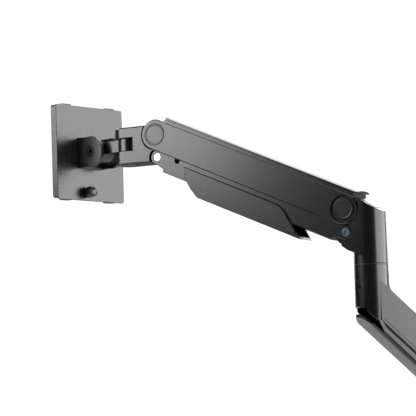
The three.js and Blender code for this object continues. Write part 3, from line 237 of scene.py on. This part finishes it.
charcoal = surface("charcoal_powder_coat", (0.0030, 0.0029, 0.0033), (0.0055, 0.0053, 0.0060), 0, 0.25)
dress("base_plate", charcoal)

# ---------------------------------------------------------------- desk pad and disc pad
# Thin moulded rubber sheets glued under the base plate and on the clamp's pressure disc.
rubber = surface(
    "pad_rubber", (0.012, 0.012, 0.012), (0.022, 0.022, 0.021), 0, 0.82, grain=900, depth=0.0001,
)
dress("desk_pad", rubber, 0.0002)
dress("disc_pad", rubber, 0.0002)

# ---------------------------------------------------------------- clamp bracket and pressure disc
# Five millimetre steel bent to a C and powder coated, and a turned steel disc on a ball end.
coated_steel = surface("clamp_powder_coat", (0.0070, 0.0068, 0.0075), (0.0120, 0.0117, 0.0128), 0, 0.34)
dress("clamp_bracket", coated_steel)
dress("pressure_disc", coated_steel, 0.0003)

# ---------------------------------------------------------------- zinc plated hardware
# Bolts, post, shafts and nuts, turned from steel and zinc plated.
# Most of them sit inside the arm; those on show are at the clamp and the head.
zinc = surface("zinc_plate", (0.13, 0.13, 0.135), (0.19, 0.19, 0.19), 1, 0.33, grain=2200)
for node in (
    "clamp_bolt_left", "clamp_bolt_right", "base_post", "clamp_screw", "retaining_washer", "retaining_screw",
    "elbow_spindle", "spring_rear_pin", "spring_front_pin", "rear_pivot_shaft", "front_pivot_shaft",
    "swivel_bolt", "swivel_nut", "tilt_nut", "rotation_hub",
):
    dress(node, zinc, 0.0002)

# ---------------------------------------------------------------- clamp knob and lock knob
# Moulded black nylon with a soft spark-eroded grain, pressed over their screws.
nylon = surface(
    "black_nylon", (0.0050, 0.0050, 0.0053), (0.0085, 0.0085, 0.0090), 0, 0.32, grain=1800,
    depth=0.00002,
)
dress("clamp_knob", nylon, 0.0006)
dress("lock_knob", nylon, 0.0002)

# ---------------------------------------------------------------- lower arm
# One aluminium casting from base boss to elbow boss, in the same charcoal coat.
# Its slanted beam is open underneath as a channel for cables.
dress("lower_arm_casting", charcoal)

# ---------------------------------------------------------------- bushes and washers
# Black acetal bearings between the turning parts, smooth and slightly shiny.
# Where they show at all, it is as thin dark lines at the joints.
acetal = surface(
    "black_acetal", (0.010, 0.010, 0.011), (0.016, 0.016, 0.017), 0, 0.35, grain=900, depth=0.00001,
)
for node in (
    "base_bush", "base_washer", "elbow_bush", "elbow_washer",
    "rear_pivot_washer_left", "rear_pivot_washer_right", "front_pivot_washer_left", "front_pivot_washer_right",
    "swivel_washer_top", "swivel_washer_bottom", "tilt_washer_left", "tilt_washer_right",
):
    dress(node, acetal, 0.0002)

# ---------------------------------------------------------------- cable covers
# Moulded charcoal covers that clip under the lower arm and the link.
# Cables run between each cover and the channel above it.
cover_plastic = surface(
    "charcoal_cover_plastic", (0.0030, 0.0029, 0.0033), (0.0050, 0.0049, 0.0055), 0, 0.29,
    grain=1100,
)
dress("lower_cable_cover", cover_plastic)
dress("link_cable_cover", cover_plastic)

# ---------------------------------------------------------------- elbow
# The elbow casting that turns on the lower arm, with a plastic insert in its slanted top.
# The same plastic closes the round top of the base boss.
dress("elbow_bracket", charcoal)
dress("elbow_top_cap", cover_plastic, 0.0002)
dress("base_boss_cap", cover_plastic, 0.0003)

# ---------------------------------------------------------------- upper arm
# An aluminium channel with rounded ends, and a crowned plastic cover along its top.
# The gas spring lies inside it, and the parallel link runs along its open underside.
dress("arm_shell", charcoal, 0.0003)
dress("arm_top_cover", cover_plastic)

# ---------------------------------------------------------------- pivot caps
# Round plastic caps pressed into round recesses over the ends of the main pivots.
# There is one on each side of the arm at both ends.
cap_plastic = surface(
    "cap_plastic", (0.0035, 0.0034, 0.0038), (0.0055, 0.0054, 0.0060), 0, 0.28, grain=1300,
)
for node in ("rear_pivot_cap_left", "rear_pivot_cap_right", "front_pivot_cap_left", "front_pivot_cap_right"):
    dress(node, cap_plastic, 0.0002)

# ---------------------------------------------------------------- gas spring
# A black enamelled tube with a ground and polished rod.
# The link's front pin and the plate's lock screw have the same polish as the rod.
enamel = surface(
    "spring_enamel", (0.010, 0.010, 0.011), (0.014, 0.014, 0.015), 0.2, 0.22, grain=300,
    depth=0.00001,
)
polished = surface(
    "polished_steel", (0.62, 0.62, 0.63), (0.70, 0.70, 0.71), 1, 0.14, grain=2600, depth=0.000006,
    spread=0.04,
)
dress("gas_spring_tube", enamel, 0.0002)
for node in ("gas_spring_rod", "front_link_pin", "lock_screw"):
    dress(node, polished, 0.0002)

# ---------------------------------------------------------------- dark screws
# The link's rear pin is a hex socket screw with a blue-grey passivated finish.
# The tilt bolt and the lower boss's set screw are blackened.
blued = surface("blued_zinc", (0.10, 0.125, 0.15), (0.15, 0.18, 0.21), 1, 0.30, grain=2200, depth=0.00001)
black_screw = surface(
    "blackened_steel", (0.020, 0.019, 0.017), (0.034, 0.031, 0.026), 0.8, 0.34, grain=2200,
    depth=0.00001,
)
dress("link_rear_pin", blued, 0.0003)
dress("tilt_bolt", black_screw, 0.0003)
dress("boss_set_screw", black_screw, 0.0002)

# ---------------------------------------------------------------- parallel link
# A folded channel along the underside of the upper arm that keeps the head level.
# It has the castings' charcoal coat.
dress("parallel_link", charcoal, 0.0003)

# ---------------------------------------------------------------- head
# The fork at the arm's end and the knuckle in its slot, both cast.
# They keep the charcoal coat of the arm.
dress("head_fork", charcoal)
dress("head_knuckle", charcoal, 0.0003)

# ---------------------------------------------------------------- tilt bracket and monitor plates
# Folded steel in a dark satin coat: the bracket, the quick-release plate and the plate on the monitor.
# The bracket is the duller of the two finishes.
bracket_coat = surface(
    "bracket_powder_coat", (0.0060, 0.0058, 0.0062), (0.0095, 0.0092, 0.0098), 0, 0.42, grain=1700,
    depth=0.000004,
)
dress("tilt_bracket", bracket_coat, 0.0003)
plate_coat = surface(
    "plate_powder_coat", (0.0040, 0.0039, 0.0043), (0.0070, 0.0068, 0.0076), 0, 0.27,
    depth=0.0000005, patch=18,
)
dress("quick_release_plate", plate_coat, 0.0003)
dress("monitor_plate", plate_coat, 0.0003)
